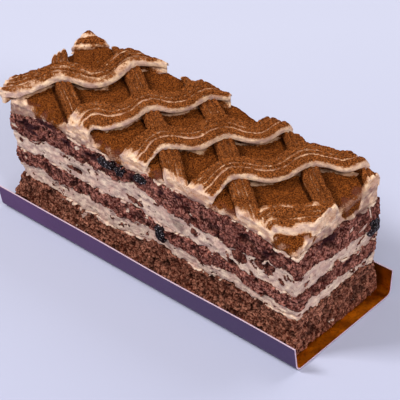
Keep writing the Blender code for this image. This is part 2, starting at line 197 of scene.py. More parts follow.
def tray_skin():
    """The card's closed section carried along x, and which card face each quad shows.

    A flap bows in and out by sin(x / 17) and sin(x / 9), the more the higher.
    """
    outer, inner = (np.vstack([half[:0:-1] * (-1, 1), half]) for half in (card_line(0), card_line(CARD)))
    section = np.vstack([outer, inner[::-1]])
    count, one_face = len(section), len(outer)
    x = np.linspace(-TRAY_LENGTH / 2, TRAY_LENGTH / 2, round(TRAY_LENGTH / TRAY_STEP) + 1)
    y, z = section.T
    bow = FLAP_WAVE * (np.sin(x / 17 + 1) + 0.6 * np.sin(x / 9))[:, None]
    y = y + bow * np.where(np.abs(y) > FLAP_FROM, (z / FLAP_HEIGHT) ** 2, 0) * np.sign(y)
    points = np.stack(np.broadcast_arrays(x[:, None], y, z), -1).reshape(-1, 3)
    quads = ring_faces(np.arange(len(x)) * count, count)[:, [0, 3, 2, 1]]
    i = np.arange(count)
    cut_side = (i == one_face - 1) | (i == count - 1)
    kinds = np.tile(np.where(cut_side, 2, i >= one_face), len(x) - 1)
    k = np.arange(one_face - 1)
    end = np.stack([k, k + 1, count - 2 - k, count - 1 - k], -1)
    quads = np.vstack([quads, end, end[:, ::-1] + (len(x) - 1) * count])
    return points, quads, np.r_[kinds, np.full(2 * len(end), 2)]


print_face, wire = new_finish("card_aubergine_print", Specular_IOR_Level=0.2)
fibre = wire.grain(0.9, 4)
shade = wire.blend(wire.grain(26).edge(0.5, 0.5), (80, 49, 94), (92, 58, 106))
# Painted shade: the print is painted darker towards the tray's right end.
shade = wire.blend(wire.along(0).edge(-0.005, 0.08) * 0.85, shade, (69, 55, 90))
shade = wire.blend(fibre.edge(0.68, 0.1) * 0.35, shade, (104, 84, 112))
wire.feed(Base_Color=shade, Roughness=0.38 + 0.2 * fibre, Normal=wire.bump(fibre, 0.02))

gold_face, wire = new_finish("card_gold_lining", Metallic=0.9)
cloud, fibre = wire.grain(5, 3), wire.grain(0.8, 3)
shade = wire.blend(cloud.edge(0.5, 0.3), (148, 74, 0), (220, 122, 0))
shade = wire.blend(fibre.edge(0.6, 0.2) * 0.5, shade, (100, 44, 0))
# Painted shade: the lining is painted darker up the flaps, from 3 mm to 9 mm high.
shade = wire.blend(wire.along(2).edge(0.006, 0.006) * 0.6, shade, (92, 36, 0))
wire.feed(Base_Color=shade, Roughness=0.3 + 0.3 * cloud, Normal=wire.bump(fibre, 0.03))

cut_edge, wire = new_finish("card_cut_edge", Roughness=0.8)
fibre = wire.grain(0.25, 3)
wire.feed(Base_Color=wire.blend(fibre.edge(0.55, 0.3), (222, 196, 212), (176, 150, 172)),
          Normal=wire.bump(fibre, 0.04))

points, quads, kinds = tray_skin()
tray = put_mesh("card_tray", points, quads.tolist(), [print_face, gold_face, cut_edge])
tray.data.polygons.foreach_set("material_index", kinds.astype(np.int32))
tray.data.polygons.foreach_set("use_smooth", kinds < 2)
tray.data.set_sharp_from_angle(angle=math.radians(40))
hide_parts("tray")

# ------------------------------
# Bottom sponge. Chocolate sponge, brown and open, soaked least of the three.
# It is sawn with the whole slice, so its faces are torn crumb, and it spreads
# at its foot where the slice sits on the card.
SLICE_BOTTOM = CARD + 0.05
SKIN_STEP = 0.3  # distance between points on the cut faces
SLICE_LENGTH = 125
SLICE_WIDTH = 39
CORNER = 1.1  # radius of the slice's upright corners
TUCK = 3  # how far a layer's upper and lower faces reach in between the others
LAYER_EDGE = 0.3  # rounding of a layer's upper and lower edges
RELIEF_REACH = 1.2  # how far in from the cut face its relief fades
OUTLINE_HEIGHT = 14  # height of the outline that the layers' boundaries are read along
BOUNDARY_GAP = 0.02  # between a layer and its boundary

# Heights of the layers' boundaries, along the near side (x, height) and as a
# rise across the slice (y, rise).
BOUNDARIES = {
    "sponge_bottom_top": (
        ((-62, 14.2), (-46, 13), (-28, 12), (-13, 11.2), (2, 14.2),
         (17, 12.7), (34, 14.4), (43, 13.2), (62, 14)),
        ((-17, 0), (-10, -0.4), (0, 0.2), (10, 0.4), (21, -0.5))),
    "cream_lower_top": (
        ((-62, 17.6), (-50, 19.2), (-38, 17.2), (-18, 18.4), (-8, 17.3),
         (1, 18.8), (12, 17.2), (27, 15.9), (36, 17.9), (47, 16), (62, 16.8)),
        ((-17, 0), (-6, 1), (4, 1.2), (12, -0.1), (21, 0.2))),
    "sponge_middle_top": (
        ((-62, 24.6), (-43, 25.8), (-30, 24.5), (-16, 24.5), (-5, 26.2),
         (10, 23.7), (25, 23.5), (40, 22.3), (62, 23.2)),
        ((-17, -0.8), (-5, 0), (2, 1), (10, -0.5), (21, -0.6))),
    "cream_middle_top": (
        ((-62, 32.2), (-54, 30.8), (-40, 33.5), (-30, 31.7), (-24, 32.9),
         (-16, 31.5), (-2, 34.4), (10, 31.4), (27, 31.1), (36, 29.4),
         (51, 30.9), (62, 29.6)),
        ((-17, -1.2), (-9, 0.3), (2, -1.6), (12, -2.4), (21, -4.2))),
    "sponge_top_top": (
        ((-62, 36.6), (-54, 38.2), (-44, 40.8), (-30, 38.4), (-20, 39.3),
         (-12, 38.5), (0, 39.2), (30, 39), (46, 38.9), (56, 36.9), (62, 36.8)),
        ((-17, 0.2), (-10, 0.5), (-4, -0.7), (4, 0.4), (14, -0.8), (21, 0))),
    "floor": (
        ((-62, 43), (-40, 42.9), (-20, 41.7), (0, 41.2), (35, 41.4),
         (48, 40.5), (56, 39), (62, 38.6)),
        ((-17, -0.3), (-14.5, 1.6), (-11, 3.4), (-6, 4.4), (5, 5.2), (21, 6))),
}
FLOOR_RISE = ((-62, 0.65), (-55, 0.8), (-38, 0.8), (-25, 1.05), (4, 0.93), (14, 0.58),
              (44, 0.58), (55, 0.9), (62, 0.75))
RAGGED = ((0.7, 5, 11), (0.6, 2.2, 11), (0.35, 0.9, 11))  # boundary wobble: height, size, seed

# The cut faces. The left one wanders with height (height, x); the others are
# right, near and far faces for each layer.
LEFT_FACE = ((1, -65.4), (3, -66.3), (5, -65), (8, -63.5), (11, -62.6), (14, -60.7), (16, -60.4),
             (18.5, -62.8), (25, -62.3), (30, -63.3), (34, -63.9), (36, -63.2), (40, -63.2), (43, -62.6))
FACES = {
    "sponge_bottom": (62, -17.5, 21.2),
    "cream_lower": (61.7, -17, 20.8),
    "sponge_middle": (62.1, -17.4, 21.3),
    "cream_middle": (61.8, -17.1, 22.3),
    "sponge_top": (62.2, -17.4, 22.8),
    "cream_top": (61.8, -17.2, 22.2),
}
SPREAD_HEIGHT = 11
FOOT_SPREAD = (0.6, -2.6, 1.1)  # right, near, far
FOOT_ROUND = 0.9
FOOT_ROUND_HEIGHT = 1.6
TURN = np.array(((0.36, 0.48, -0.8), (-0.8, 0.6, 0), (0.48, 0.64, 0.6)))  # no noise lies square to the slice


def smooth(value):
    """0 below 0, 1 above 1, easing between: t² (3 - 2 t)."""
    t = np.clip(value, 0, 1)
    return t * t * (3 - 2 * t)


def eased(knots, place):
    """Curve through (place, height) knots, easing from each one to the next."""
    places, heights = np.array(knots, float).T
    index = np.clip(np.searchsorted(places, place) - 1, 0, len(places) - 2)
    share = smooth((place - places[index]) / (places[index + 1] - places[index]))
    return heights[index] + (heights[index + 1] - heights[index]) * share


def cell_number(cell, seed):
    """A repeatable number from 0 to 1 for each whole cell: the fraction of a large sine."""
    turn = cell[..., 0] * 12.9898 + cell[..., 1] * 78.233 + cell[..., 2] * 37.719 + seed * 41.37
    return np.abs(np.sin(turn) * 43758.5453) % 1


def lumps(points, size, seed, stretch=(1, 1, 1)):
    """Smooth random field, -1 to 1, with lumps of size mm: cell numbers blended with smoothstep."""
    scaled = (points / (size * np.array(stretch))) @ TURN.T + seed * 7.31
    whole = np.floor(scaled)
    part = smooth(scaled - whole)
    total = np.zeros(points.shape[:-1])
    for corner in np.ndindex(2, 2, 2):
        weight = np.prod(np.where(corner, part, 1 - part), axis=-1)
        total += weight * cell_number(whole + corner, seed)
    return 2 * total - 1


def noise(points, *waves):
    """Sum of lumps, each given as its height, size in mm and seed, and where needed its stretch."""
    return sum(height * lumps(points, *wave) for height, *wave in waves)


def spots_near(points, size, seed):
    """Distance to the nearest of scattered spots, one to a cell of size mm, counted in cells."""
    scaled = (points / size) @ TURN.T + seed * 3.17
    whole = np.floor(scaled)
    nearest = np.full(points.shape[:-1], 9.0)
    for step in np.ndindex(3, 3, 3):
        cell = whole + step - 1
        spot = cell + np.stack([cell_number(cell, seed + 0.37 * k) for k in (1, 2, 3)], -1)
        nearest = np.minimum(nearest, np.linalg.norm(scaled - spot, axis=-1))
    return nearest


def boundary(name, x, y):
    """Height of a layer's boundary: its line along the slice, its rise across, and a ragged wobble."""
    along, across = BOUNDARIES[name]
    if name == "floor":
        return eased(along, x) + eased(across, y) * eased(FLOOR_RISE, x)
    place = np.stack([x, y, np.full_like(x, 9 * list(BOUNDARIES).index(name))], -1)
    return eased(along, x) + eased(across, y) + noise(place, *RAGGED)


def cut_stations():
    """Shares (0 to 1) of the length and the width at stations round the slice, from the near left corner.

    Also which stations lie on the near, far, left and right sides. Near and
    far run along x and hold the corners.
    """
    along, across = round(SLICE_LENGTH / SKIN_STEP), round(SLICE_WIDTH / SKIN_STEP)
    a, b = np.arange(along) / along, np.arange(across) / across
    share_x, share_y = np.r_[a, b * 0 + 1, 1 - a, b * 0], np.r_[a * 0, b, a * 0 + 1, 1 - b]
    count, near = len(share_x), np.arange(along + 1)
    left, right = np.arange(2 * along + across + 1, count), np.arange(along + 1, along + across)
    return share_x, share_y, (near, (2 * along + across - near) % count, left, right)


def close_across(sides, first, flip):
    """Faces that close a skin at one ring, whose points start at first: strips across and an end at each side."""
    near, far, left, right = (side + first for side in sides)
    strips = np.stack([near[1:-2], near[2:-1], far[2:-1], far[1:-2]], -1)
    ends = ([near[0], near[1], far[1], far[0], *left], [near[-2], near[-1], *right, far[-1], far[-2]])
    return strips[:, ::flip].tolist() + [[int(station) for station in end][::flip] for end in ends]


def cut_place(layer, share_x, share_y, z, inset):
    """Place (x, y) in a layer's outline at height z, drawn in by inset, and the direction outwards.

    The outline is a rectangle whose corner squares are bent to quarter discs:
    dx' = dx sqrt(1 - dy²/2), dy' = dy sqrt(1 - dx²/2).
    """
    left = eased(LEFT_FACE, z)
    right, near, far = FACES[layer]
    if layer == "sponge_bottom":
        spread = smooth(1 - z / SPREAD_HEIGHT)
        drawn = np.clip(1 - z / FOOT_ROUND_HEIGHT, 0, 1) ** 2 * FOOT_ROUND
        left, right = left + drawn, right + FOOT_SPREAD[0] * spread - drawn
        near, far = near + FOOT_SPREAD[1] * spread + drawn, far + FOOT_SPREAD[2] * spread - drawn
    bent, place = [], []
    halves = (right - left) / 2 - inset, (far - near) / 2 - inset
    offsets = (2 * share_x - 1) * halves[0], (2 * share_y - 1) * halves[1]
    depths = [np.maximum(np.abs(offset) - half + CORNER, 0) / CORNER for offset, half in zip(offsets, halves)]
    for offset, half, depth, other, middle in zip(offsets, halves, depths, depths[::-1], (left + right, near + far)):
        bent.append(np.sign(offset) * depth * np.sqrt(1 - other ** 2 / 2))
        place.append(np.sign(offset) * np.minimum(np.abs(offset), half - CORNER) + CORNER * bent[-1] + middle / 2)
    reach = np.maximum(np.hypot(*bent), 1e-9)
    return *place, np.stack([bent[0] / reach, bent[1] / reach, np.zeros_like(reach)], -1)


def patches(a, b, places):
    """How deep a place (a, b) lies in listed ellipses: 1 at a centre, 0 at its rim, less outside.

    Each is (centre a, centre b, half length, half height, tilt in degrees).
    """
    depth = np.full(a.shape, -9.0)
    for centre_a, centre_b, long, high, tilt in places:
        c, s = math.cos(math.radians(tilt)), math.sin(math.radians(tilt))
        u = ((a - centre_a) * c + (b - centre_b) * s) / long
        v = ((b - centre_b) * c - (a - centre_a) * s) / high
        depth = np.maximum(depth, (1 - np.hypot(u, v)) * min(1, high))
    return depth


def crumb_relief(points):
    """Torn crumb in mm, and how much shade is painted in its gaps.

    The place is warped by noise, then each scattered spot carries a round
    clump, 1 - d², at two sizes, so that gaps run between the clumps, where shade is painted.
    """
    warped = points + 0.7 * np.stack([lumps(points, 1.1, seed) for seed in (41, 42, 43)], -1)
    large, small = spots_near(warped, 1.9, 3), spots_near(warped, 1, 4)
    holes = smooth((lumps(warped, 2.2, 6) - 0.3) / 0.25)
    relief = (noise(points, (0.42, 4.6, 5), (0.22, 0.7, 7)) + 0.5 * (0.45 - large ** 2)
              + 0.42 * (0.4 - small ** 2) - 0.8 * holes)
    # Painted shade: darkness for the gaps between clumps and for the holes.
    gaps = 0.6 * smooth((large - 0.55) / 0.3) + 0.6 * smooth((small - 0.5) / 0.3) + 0.7 * holes
    return relief, np.clip(gaps, 0, 1)


def cream_relief(points):
    """Knife-dragged cream in mm: long shallow ridges, a few lumps and small air holes."""
    holes = np.clip(0.3 - spots_near(points, 3.1, 8), 0, 0.3) * 3.3
    return noise(points, (0.16, 1.3, 9, (3, 3, 1)), (0.42, 2.4, 10), (0.2, 0.9, 12)) - 0.4 * holes


# What the knife dragged over the cut faces, as listed ellipses. NEAR faces are
# read as (x, z) and END faces, at the right, as (y, z).
CREAM_OVER_SPONGE = {
    "near": ((-33, 39.2, 4.6, 0.55, -8), (-30, 37, 1.1, 0.7, 30), (-61.5, 33.2, 1.6, 0.8, -20),
             (-24, 15.2, 4, 0.7, 5), (-10, 24.6, 1.6, 0.8, 10), (4, 25, 1.2, 0.8, -20),
             (31, 23, 2.2, 0.5, -12), (20, 33.2, 1, 0.4, 0), (51, 13.6, 2.2, 0.5, 0),
             (-57.5, 21.5, 1.2, 0.5, -30), (-41, 12, 3, 0.4, -6)),
    "end": ((-15.6, 24, 1.4, 1.3, 60), (14, 30.2, 2.8, 0.5, 30), (8.5, 33, 1.6, 0.4, 40),
            (17.2, 34.2, 0.5, 2.4, 10), (-2, 13.8, 2.6, 0.5, 0), (12, 21.6, 2, 0.5, 20)),
}
SPONGE_OVER_CREAM = {
    "near": ((-59, 28, 1.3, 1, -20), (-54, 30, 4.2, 0.8, -6), (-32.5, 27.2, 4.6, 1, -6),
             (-22.5, 30, 1.7, 0.6, 0), (-5.5, 27.2, 4.6, 1.1, -6), (1.5, 28, 0.45, 0.45, 0),
             (4.5, 30, 1.6, 0.5, 0), (20.5, 27.3, 1.7, 1.8, -35), (28.5, 26.5, 0.6, 0.5, 0),
             (39, 26.5, 3.4, 3.4, -30), (36.5, 22.6, 3, 1.2, -20), (47, 27.5, 2.1, 1.2, -20),
             (51, 28, 2, 2.6, -20), (56, 25.2, 1.4, 0.8, -30), (-55, 15.6, 0.8, 0.45, 0),
             (-45, 15.6, 0.7, 0.5, 0), (-9, 15.2, 0.6, 0.5, 0), (-48, 27.6, 1.5, 0.4, -10),
             (14, 29.6, 0.8, 0.4, 20), (57.5, 27.2, 0.9, 0.6, -30), (28, 16, 1.2, 0.4, 0)),
    "end": ((-12.5, 25.2, 2.4, 0.7, 20), (5, 22, 2, 1.7, 20), (-15.5, 28.6, 1, 1.4, 40),
            (17.5, 16.9, 1.8, 1.9, 20), (13.5, 25.6, 2.2, 0.5, 25), (-16.2, 15.2, 0.9, 0.7, 20)),
}
JUICE = {
    "near": ((13.5, 26.6, 4.2, 2.4, -25), (-15, 36.6, 8.5, 1.9, 0), (-3, 36.6, 5, 2.3, 0),
             (-44, 40.2, 6.5, 1.2, -8), (7.5, 36, 1.8, 1.1, 0), (50.5, 33.5, 1.9, 1.6, 0),
             (14.5, 38, 1.8, 0.9, -10), (6, 19.5, 2.8, 3.6, -20), (-31, 28.2, 5.5, 1.2, -6),
             (-52, 34, 4, 1, -8), (-35, 37, 3, 1.4, -10), (37, 28, 1.4, 0.6, 0),
             (-54, 36, 7, 1.7, 4), (-23.5, 36.4, 4.5, 1.5, 0)),
    "end": ((14, 36.6, 5, 1.6, 4), (-3, 35.6, 7, 2, 0), (17.5, 17, 2, 2.2, 20), (19.8, 27.2, 3.2, 4.2, 0),
            (10, 41, 5, 0.5, 0), (6.5, 21.4, 3.4, 1.4, 0), (-2, 38.2, 1.6, 0.8, 0), (-9.5, 37.6, 1.4, 0.9, 30)),
}


def on_faces(points, outward, places):
    """Depth in the patches listed for the near and the end face, for the points that lie on each."""
    near = np.where(outward[..., 1] < -0.7, patches(points[..., 0], points[..., 2], places["near"]), -9)
    end = np.where(outward[..., 0] > 0.7, patches(points[..., 1], points[..., 2], places["end"]), -9)
    return np.maximum(near, end)


def drag(points, size, seed):
    """Ragged noise, longer along the cut than up it, for the edges of what the knife dragged."""
    return noise(points, (0.6, size, seed, (2.2, 2.2, 1)), (0.4, size * 0.42, seed + 1))


def cut_face_numbers(points, outward, z_low, z_high, is_sponge):
    """Cream share, juice and painted pore shade at each point of a layer's cut face, and its relief in mm."""
    ragged = drag(points, 2.4, 21)
    to_edge = np.minimum(points[..., 2] - z_low, z_high - points[..., 2])
    stray = 0.62 * drag(points, 4.6, 31) + 0.38 * drag(points, 1.7, 35)
    depth = on_faces(points, outward, CREAM_OVER_SPONGE if is_sponge else SPONGE_OVER_CREAM) + 0.5 * ragged
    depth = np.maximum(depth, 1.5 * (stray if is_sponge else -stray) - 0.5 * to_edge)
    if not is_sponge:
        crumbs = noise(points, (0.65, 1.1, 17, (1.7, 1.7, 1)), (0.35, 0.5, 18), (0.25, 5.5, 16, (1.8, 1.8, 1)))
        depth = np.maximum(depth, 1.6 * (crumbs - 0.42))
    depth = np.maximum(depth, (stray - (0.5 if is_sponge else 0.46)) * 2)
    strays = smooth(depth / 0.2)
    cream = strays if is_sponge else 1 - strays
    juice = smooth(on_faces(points, outward, JUICE) * 1.6 + 0.35 * ragged + 0.1)
    torn, pore_shade = crumb_relief(points)
    relief = torn * (1 - cream) + (cream_relief(points) + 0.08) * cream
    return cream, juice, pore_shade * (1 - cream), relief


def layer_skin(layer, lower, upper):
    """A layer's closed skin: stations round the slice by rows up the cut face.

    Rows start TUCK in from the face at the lower boundary, come out, climb the
    face and go in again at the upper boundary. Point = outline(u, z, inset) +
    outward(u) * relief. The strips between near and far sides close it.
    """
    share_x, share_y, sides = cut_stations()
    count = len(share_x)
    x, y, _ = cut_place(layer, share_x, share_y, np.full(count, OUTLINE_HEIGHT), 0)
    z_low = boundary(lower, x, y) + BOUNDARY_GAP if lower else np.full(count, SLICE_BOTTOM)
    z_high = boundary(upper, x, y) - BOUNDARY_GAP
    face_rows = max(6, round(float(np.mean(z_high - z_low)) / SKIN_STEP))
    going_in = (LAYER_EDGE * 0.3, LAYER_EDGE, TUCK * 0.5, TUCK)
    insets = np.r_[going_in[::-1], np.zeros(face_rows + 1), going_in]
    lift = np.repeat([[0], [0], [0], [LAYER_EDGE * 0.3]], count, axis=1)
    share = np.linspace(0, 1, face_rows + 1)[:, None]
    z = z_low + np.vstack([lift, LAYER_EDGE + share * (z_high - z_low - 2 * LAYER_EDGE), z_high - z_low - lift[::-1]])
    x, y, outward = cut_place(layer, share_x, share_y, z, insets[:, None])
    points = np.stack([x, y, z], -1)
    cream, juice, pore_shade, relief = cut_face_numbers(points, outward, z_low, z_high, layer.startswith("sponge"))
    outer = np.clip(1 - insets[:, None] / RELIEF_REACH, 0, 1)
    points = points + outward * (relief * outer)[..., None]
    faces = ring_faces(np.arange(len(insets)) * count, count).tolist()
    faces += close_across(sides, 0, -1) + close_across(sides, (len(insets) - 1) * count, 1)
    return points.reshape(-1, 3), faces, {"cream": cream.ravel(), "juice": juice.ravel(), "pore_shade": pore_shade.ravel()}


CREAM_WARM, CREAM_GREY, CREAM_PINK = (232, 206, 183), (176, 144, 134), (204, 164, 150)
# CRUMB_SHADE is painted shade between crumb grains, and the third colour is painted shade in the pores; JUICE_DARK is
# the juice's stain.
JUICE_DARK, CRUMB_SHADE, PAINTED_PORE_SHADE = (48, 16, 20), (40, 9, 3), (28, 4, 2)


def cream_tone(wire, warm=CREAM_WARM):
    """Whipped mascarpone cream: warm, with grey-pink streaks along the cut."""
    tone = wire.blend(wire.grain(1.6, 4, (1.8, 1.8, 0.9)).edge(0.5, 0.25), warm, CREAM_GREY)
    return wire.blend(wire.grain(4, shift=0.7).edge(0.55, 0.25) * 0.6, tone, CREAM_PINK)


def cut_finish(name, pale_crumb_and_highlight, crumb_light, crumb_dark):
    """Finish of a cut face: torn crumb and dragged cream, told apart by the mesh's cream share."""
    material, wire = new_finish(name, Specular_IOR_Level=0.08)
    coarse, fine = wire.grain(1.5, 4), wire.grain(0.68, 3, shift=0.3)
    crumb = wire.blend(coarse.edge(0.5, 0.22), crumb_dark, crumb_light)
    # Fine flecks: pale crumb with painted highlights, then near-black specks of painted shade.
    crumb = wire.blend((1 - fine).edge(0.56, 0.12) * 0.5, crumb, pale_crumb_and_highlight)
    crumb = wire.blend(fine.edge(0.55, 0.12) * 0.65, crumb, CRUMB_SHADE)
    crumb = wire.blend(wire.grain(5, shift=1.7).edge(0.55, 0.25) * 0.45, crumb, crumb_dark)
    # Painted shade in the pores and the gaps between clumps, read from the mesh.
    crumb = wire.blend(wire.attribute("pore_shade") * 0.85, crumb, PAINTED_PORE_SHADE)
    cover = (wire.attribute("cream") + 1.3 * (fine - 0.5)).edge(0.5, 0.25)
    flecked = wire.blend(wire.grain(0.55, 3, shift=0.9).edge(0.66, 0.08) * 0.7, cream_tone(wire), crumb_dark)
    wet = wire.attribute("juice")
    tone = wire.blend(wet * (0.7 + 0.6 * coarse) * (1 - 0.5 * cover), wire.blend(cover, crumb, flecked), JUICE_DARK)
    raised = fine * (1 - 0.75 * cover) + 0.6 * coarse * (1 - cover)
    wire.feed(Base_Color=tone, Roughness=0.82 - 0.36 * cover - 0.22 * wet, Normal=wire.bump(raised, 0.9))
    return material


def make_layer(layer, lower, upper, material):
    """One layer of the slice in its CAD node's place."""
    points, faces, numbers = layer_skin(layer, lower, upper)
    piece = put_mesh("cut_" + layer, points, faces, [material], numbers)
    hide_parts(layer)


brown_crumb = cut_finish("crumb_brown", (214, 152, 126), (180, 114, 92), (80, 29, 14))
make_layer("sponge_bottom", None, "sponge_bottom_top", brown_crumb)

# ------------------------------
# Lower cream. Mascarpone cream spread on the bottom sponge, dragged along by
# the knife, with a few crumbs of sponge in it.
spread_cream = cut_finish("cream_spread", (186, 124, 106), (146, 86, 70), (84, 38, 30))
make_layer("cream_lower", "sponge_bottom_top", "cream_lower_top", spread_cream)

# ------------------------------
# Middle sponge. The same sponge soaked in coffee and cherry juice, so it is
# darker, purplish and tighter.
soaked_crumb = cut_finish("crumb_soaked", (228, 162, 144), (182, 112, 96), (74, 19, 15))
make_layer("sponge_middle", "cream_lower_top", "sponge_middle_top", soaked_crumb)

# ------------------------------
# Middle cream. The thickest filling; the knife has dragged islands of crumb
# and a stain of juice through it.
make_layer("cream_middle", "sponge_middle_top", "cream_middle_top", spread_cream)

# ------------------------------
# Top sponge. Soaked as the middle one, with the cherries pressed into its
# upper side and their juice run down its near face.
make_layer("sponge_top", "cream_middle_top", "sponge_top_top", soaked_crumb)

# ------------------------------
# Cherries. Pieces of dark sour cherry, soft and wet, cut by the knife where
# they lie in the layers.
# Each piece's centre, half sizes and tilt in degrees.
CHERRIES = {
    "cherry_lower": ((6.1, -16.6, 19.8), (2.3, 2.3, 3.2), (0, -20, 0)),
    "cherry_upper_left": ((-16.8, -16.2, 36.6), (3.9, 2.4, 1.9), (0, 8, 0)),
    "cherry_upper_middle": ((-10.6, -16.4, 36.4), (2.1, 2.2, 2.3), (0, 0, 0)),
    "cherry_upper_right": ((-1.8, -16.4, 37.2), (3.2, 2.2, 1.6), (0, -12, 0)),
    "cherry_end": ((60.8, 19.4, 27.2), (2.6, 3.9, 3.3), (-15, 0, 0)),
}
CHERRY_RINGS, CHERRY_SEGMENTS = 40, 64


def cherry_skin(centre, radii, tilt, seed):
    """A ball on two angles, r = 1 + dents + wrinkles, stretched to its radii and tilted; one point at each pole."""
    around = np.linspace(0, 2 * math.pi, CHERRY_SEGMENTS, endpoint=False)
    down = np.linspace(0, math.pi, CHERRY_RINGS + 1)[1:-1, None]
    ball = np.stack(np.broadcast_arrays(np.sin(down) * np.cos(around), np.sin(down) * np.sin(around),
                                        np.cos(down)), -1).reshape(-1, 3)
    ball = np.vstack([ball, (0, 0, 1), (0, 0, -1)])
    size = (1 + noise(ball, (0.22, 0.7, 40 + seed), (0.12, 0.33, 50 + seed))
            - 0.24 * np.clip(0.45 - spots_near(ball, 0.6, 60 + seed), 0, 1))
    turn = Matrix.Rotation(math.radians(tilt[1]), 3, "Y") @ Matrix.Rotation(math.radians(tilt[0]), 3, "X")
    points = (ball * size[:, None] * radii) @ np.array(turn).T + centre
    faces = ring_faces(np.arange(CHERRY_RINGS - 1) * CHERRY_SEGMENTS, CHERRY_SEGMENTS)[:, ::-1].tolist()
    i = np.arange(CHERRY_SEGMENTS)
    j = (i + 1) % CHERRY_SEGMENTS
    last = (CHERRY_RINGS - 2) * CHERRY_SEGMENTS
    for pole, a, b in ((len(ball) - 2, i, j), (len(ball) - 1, j + last, i + last)):
        faces += np.stack([np.full_like(i, pole), a, b], -1).tolist()
    return points, faces


cherry_flesh, wire = new_finish("cherry_flesh", Specular_IOR_Level=0.12)
blot, fine = wire.grain(1.3, 3), wire.grain(0.4, 3)
glint = fine.edge(0.65, 0.04)
# Painted highlights: pale flecks in the base colour stand for glints; the same flecks are also smoother.
shade = wire.blend(glint * 0.8, wire.blend(blot.edge(0.5, 0.2), (4, 2, 5), (22, 5, 8)), (214, 200, 210))
wire.feed(Base_Color=shade, Roughness=0.42 - 0.36 * glint, Normal=wire.bump(blot + 0.3 * fine, 0.8))
for seed, (name, form) in enumerate(CHERRIES.items()):
    cherry = put_mesh("piece_of_" + name, *cherry_skin(*form, seed), [cherry_flesh])
    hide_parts(name)

# ------------------------------
# Top cream. A thick layer of the same cream, dusted all over with cocoa after
# the ribbons are piped on. The knife has pulled cream down over its near edge.
TOP_EDGE = 0.9  # radius of its upper edge
TOP_EDGE_ROWS = 6
TOP_FACE_ROWS = 10
TOP_RIGHT, TOP_NEAR, TOP_FAR = FACES["cream_top"]
# Routes of the ribbons (x, y): the dust is thin beside the over ribbons, and shade is painted beside the under ones.
UNDER_ROUTES = (
    ((-70, 11), (-63, 6), (-54.7, -1.8), (-44.7, -7.9), (-35, -13.3), (-26, -20)),
    ((-58, 29), (-45.5, 20.6), (-30, 10.4), (-14.8, 1), (1.1, -8), (18, -20)),
    ((-26, 29), (-16, 23.2), (3, 12.8), (11.3, 7), (19.2, 1), (36, -11.3), (48, -19.5)),
    ((16, 28.5), (29, 19.9), (42.6, 11.2), (50, 5.2), (68, -5.5)),
    ((46, 28.2), (56.4, 21.8), (62.6, 17.8), (69, 14)),
)
OVER_ROUTES = (
    ((-71, 12), (-65.8, 17), (-59.3, 22.5), (-53, 29)),
    ((-73.5, -19.4), (-66.1, -16.4), (-60.8, -14), (-57.2, -11.2), (-54.2, -7.4), (-51.8, -3.4), (-46.6, -0.2),
     (-40.6, 0.9), (-37.6, 4.9), (-38.3, 12), (-37.8, 17.3), (-33.8, 21), (-27, 24.5)),
    ((-26.2, -22), (-28.2, -17.2), (-28.4, -13.8), (-25.4, -11.5), (-20.3, -9.7), (-17.3, -6), (-16.5, 0.2),
     (-14, 4), (-10, 6.3), (-7.2, 10.3), (-6.2, 15), (-4.4, 19.5), (1.5, 23.5)),
    ((-5, -21), (-2.2, -13.8), (0, -9.2), (5.3, -5), (8.8, -1), (10.2, 4.4), (12.6, 9),
     (18, 11.1), (22, 13.2), (23, 17.5), (24.6, 26)),
    ((23.5, -21), (25.6, -13.5), (27.3, -6.8), (31.8, -3.2), (36.8, -0.5), (39.1, 3.5),
     (40.2, 10.2), (42.6, 14.2), (46.3, 16.2), (50.6, 17), (52.8, 18.8), (53.8, 21.4), (54.5, 25)),
    ((50.5, -22), (49.2, -17.6), (49.4, -14.4), (52.4, -12.4), (55.6, -10.6), (58.8, -7.2),
     (62.5, -4.6), (68, -2.5)),
)
OVERHANG = 2.8  # to the right of an over ribbon's route, where dust reaches the floor
UNDER_EDGE = 2.7  # to the left of an under ribbon's route, where its side meets the floor
# Where the dusted cream was pushed over the near and the end edge (x or y, half length, how far down).
DUST_HANGING = {
    "near": ((-44.5, 9, 2.2), (-15, 7, 2.2), (31.5, 6, 2.2), (4, 3, 1.4), (56, 5, 1.6)),
    "end": ((8.5, 6, 3.4), (-9.5, 2.5, 1.4)),
}
# Cream pulled over the near and the end edge (x or y, half length, depth below and above the edge).
CREAM_PULLED = {
    "near": ((-59.5, 8, 4), (-26.5, 5, 2.6), (-3.5, 3.6, 1.8), (12.5, 4.8, 2), (23, 4.6, 1.8),
             (46.5, 5.6, 2.6), (33, 3, 0.8), (-33, 3, 0.7)),
    "end": ((-4, 4, 3), (18, 3.2, 2.4), (-12, 2.6, 0.8)),
}
TOP_FACE_HEIGHT, TOP_HEIGHT = 42, 43  # heights of the outlines of its face and of its top
PIPED_CREAM, THIN_DUST = (252, 218, 184), (196, 136, 86)
FLECK, JUICE_ON_CREAM = (122, 66, 32), (98, 50, 46)
DOT_SIZE = 0.5  # of the clots in the cocoa


def curve_through(points, steps, closed=False):
    """Catmull-Rom curve through points, steps to a span: cubic in t with tangents (p2 - p0) / 2."""
    p = np.array(points, float)
    p = np.vstack([p[-1], p, p[:2]]) if closed else np.vstack([2 * p[0] - p[1], p, 2 * p[-1] - p[-2]])
    t = (np.arange(steps) / steps)[None, :, None]
    p0, p1, p2, p3 = (p[k:len(p) - 3 + k, None] for k in range(4))
    curve = 0.5 * (2 * p1 + (p2 - p0) * t + (2 * p0 - 5 * p1 + 4 * p2 - p3) * t ** 2
                   + (3 * p1 - p0 - 3 * p2 + p3) * t ** 3)
    curve = curve.reshape(-1, p.shape[1])
    return curve if closed else np.vstack([curve, p[-2]])


